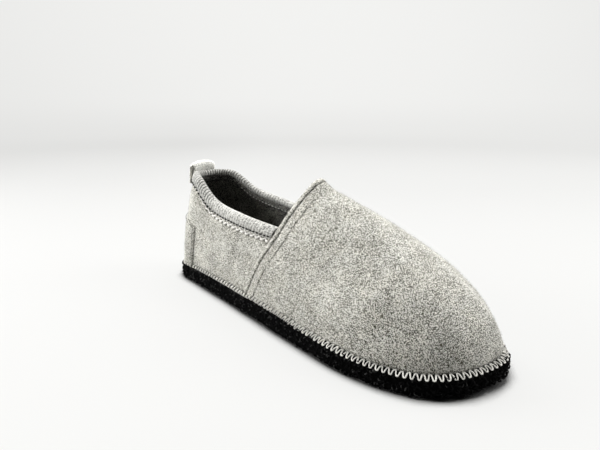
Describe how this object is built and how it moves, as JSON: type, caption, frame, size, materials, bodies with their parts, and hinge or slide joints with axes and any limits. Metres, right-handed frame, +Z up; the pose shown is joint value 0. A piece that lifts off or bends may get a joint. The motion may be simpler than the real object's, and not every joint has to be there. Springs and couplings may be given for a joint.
{
  "type": "felt slipper",
  "caption": "Right house slipper in grey alpaca wool felt, with a lapped vamp, heel patch, rib-knit collar, pull loop and black looped felt sole.",
  "frame": {"origin": "on the ground, under the middle of the sole's box", "axes": "+X from heel to toe, +Y to the inner side of the right foot, +Z up"},
  "size_m": [0.275, 0.0966, 0.0971],
  "materials": {
    "felt_black": "looped black felt",
    "felt_dark": "charcoal felt",
    "felt_grey": "marled grey wool felt with a soft nap",
    "rib_knit": "light grey rib knit"
  },
  "bodies": {
    "root": {"outsole": "felt_black", "insole": "felt_dark", "upper": "felt_grey", "vamp": "felt_grey", "heel_counter": "felt_grey", "collar_binding": "rib_knit", "pull_loop": "rib_knit"}
  },
  "joints": []
}
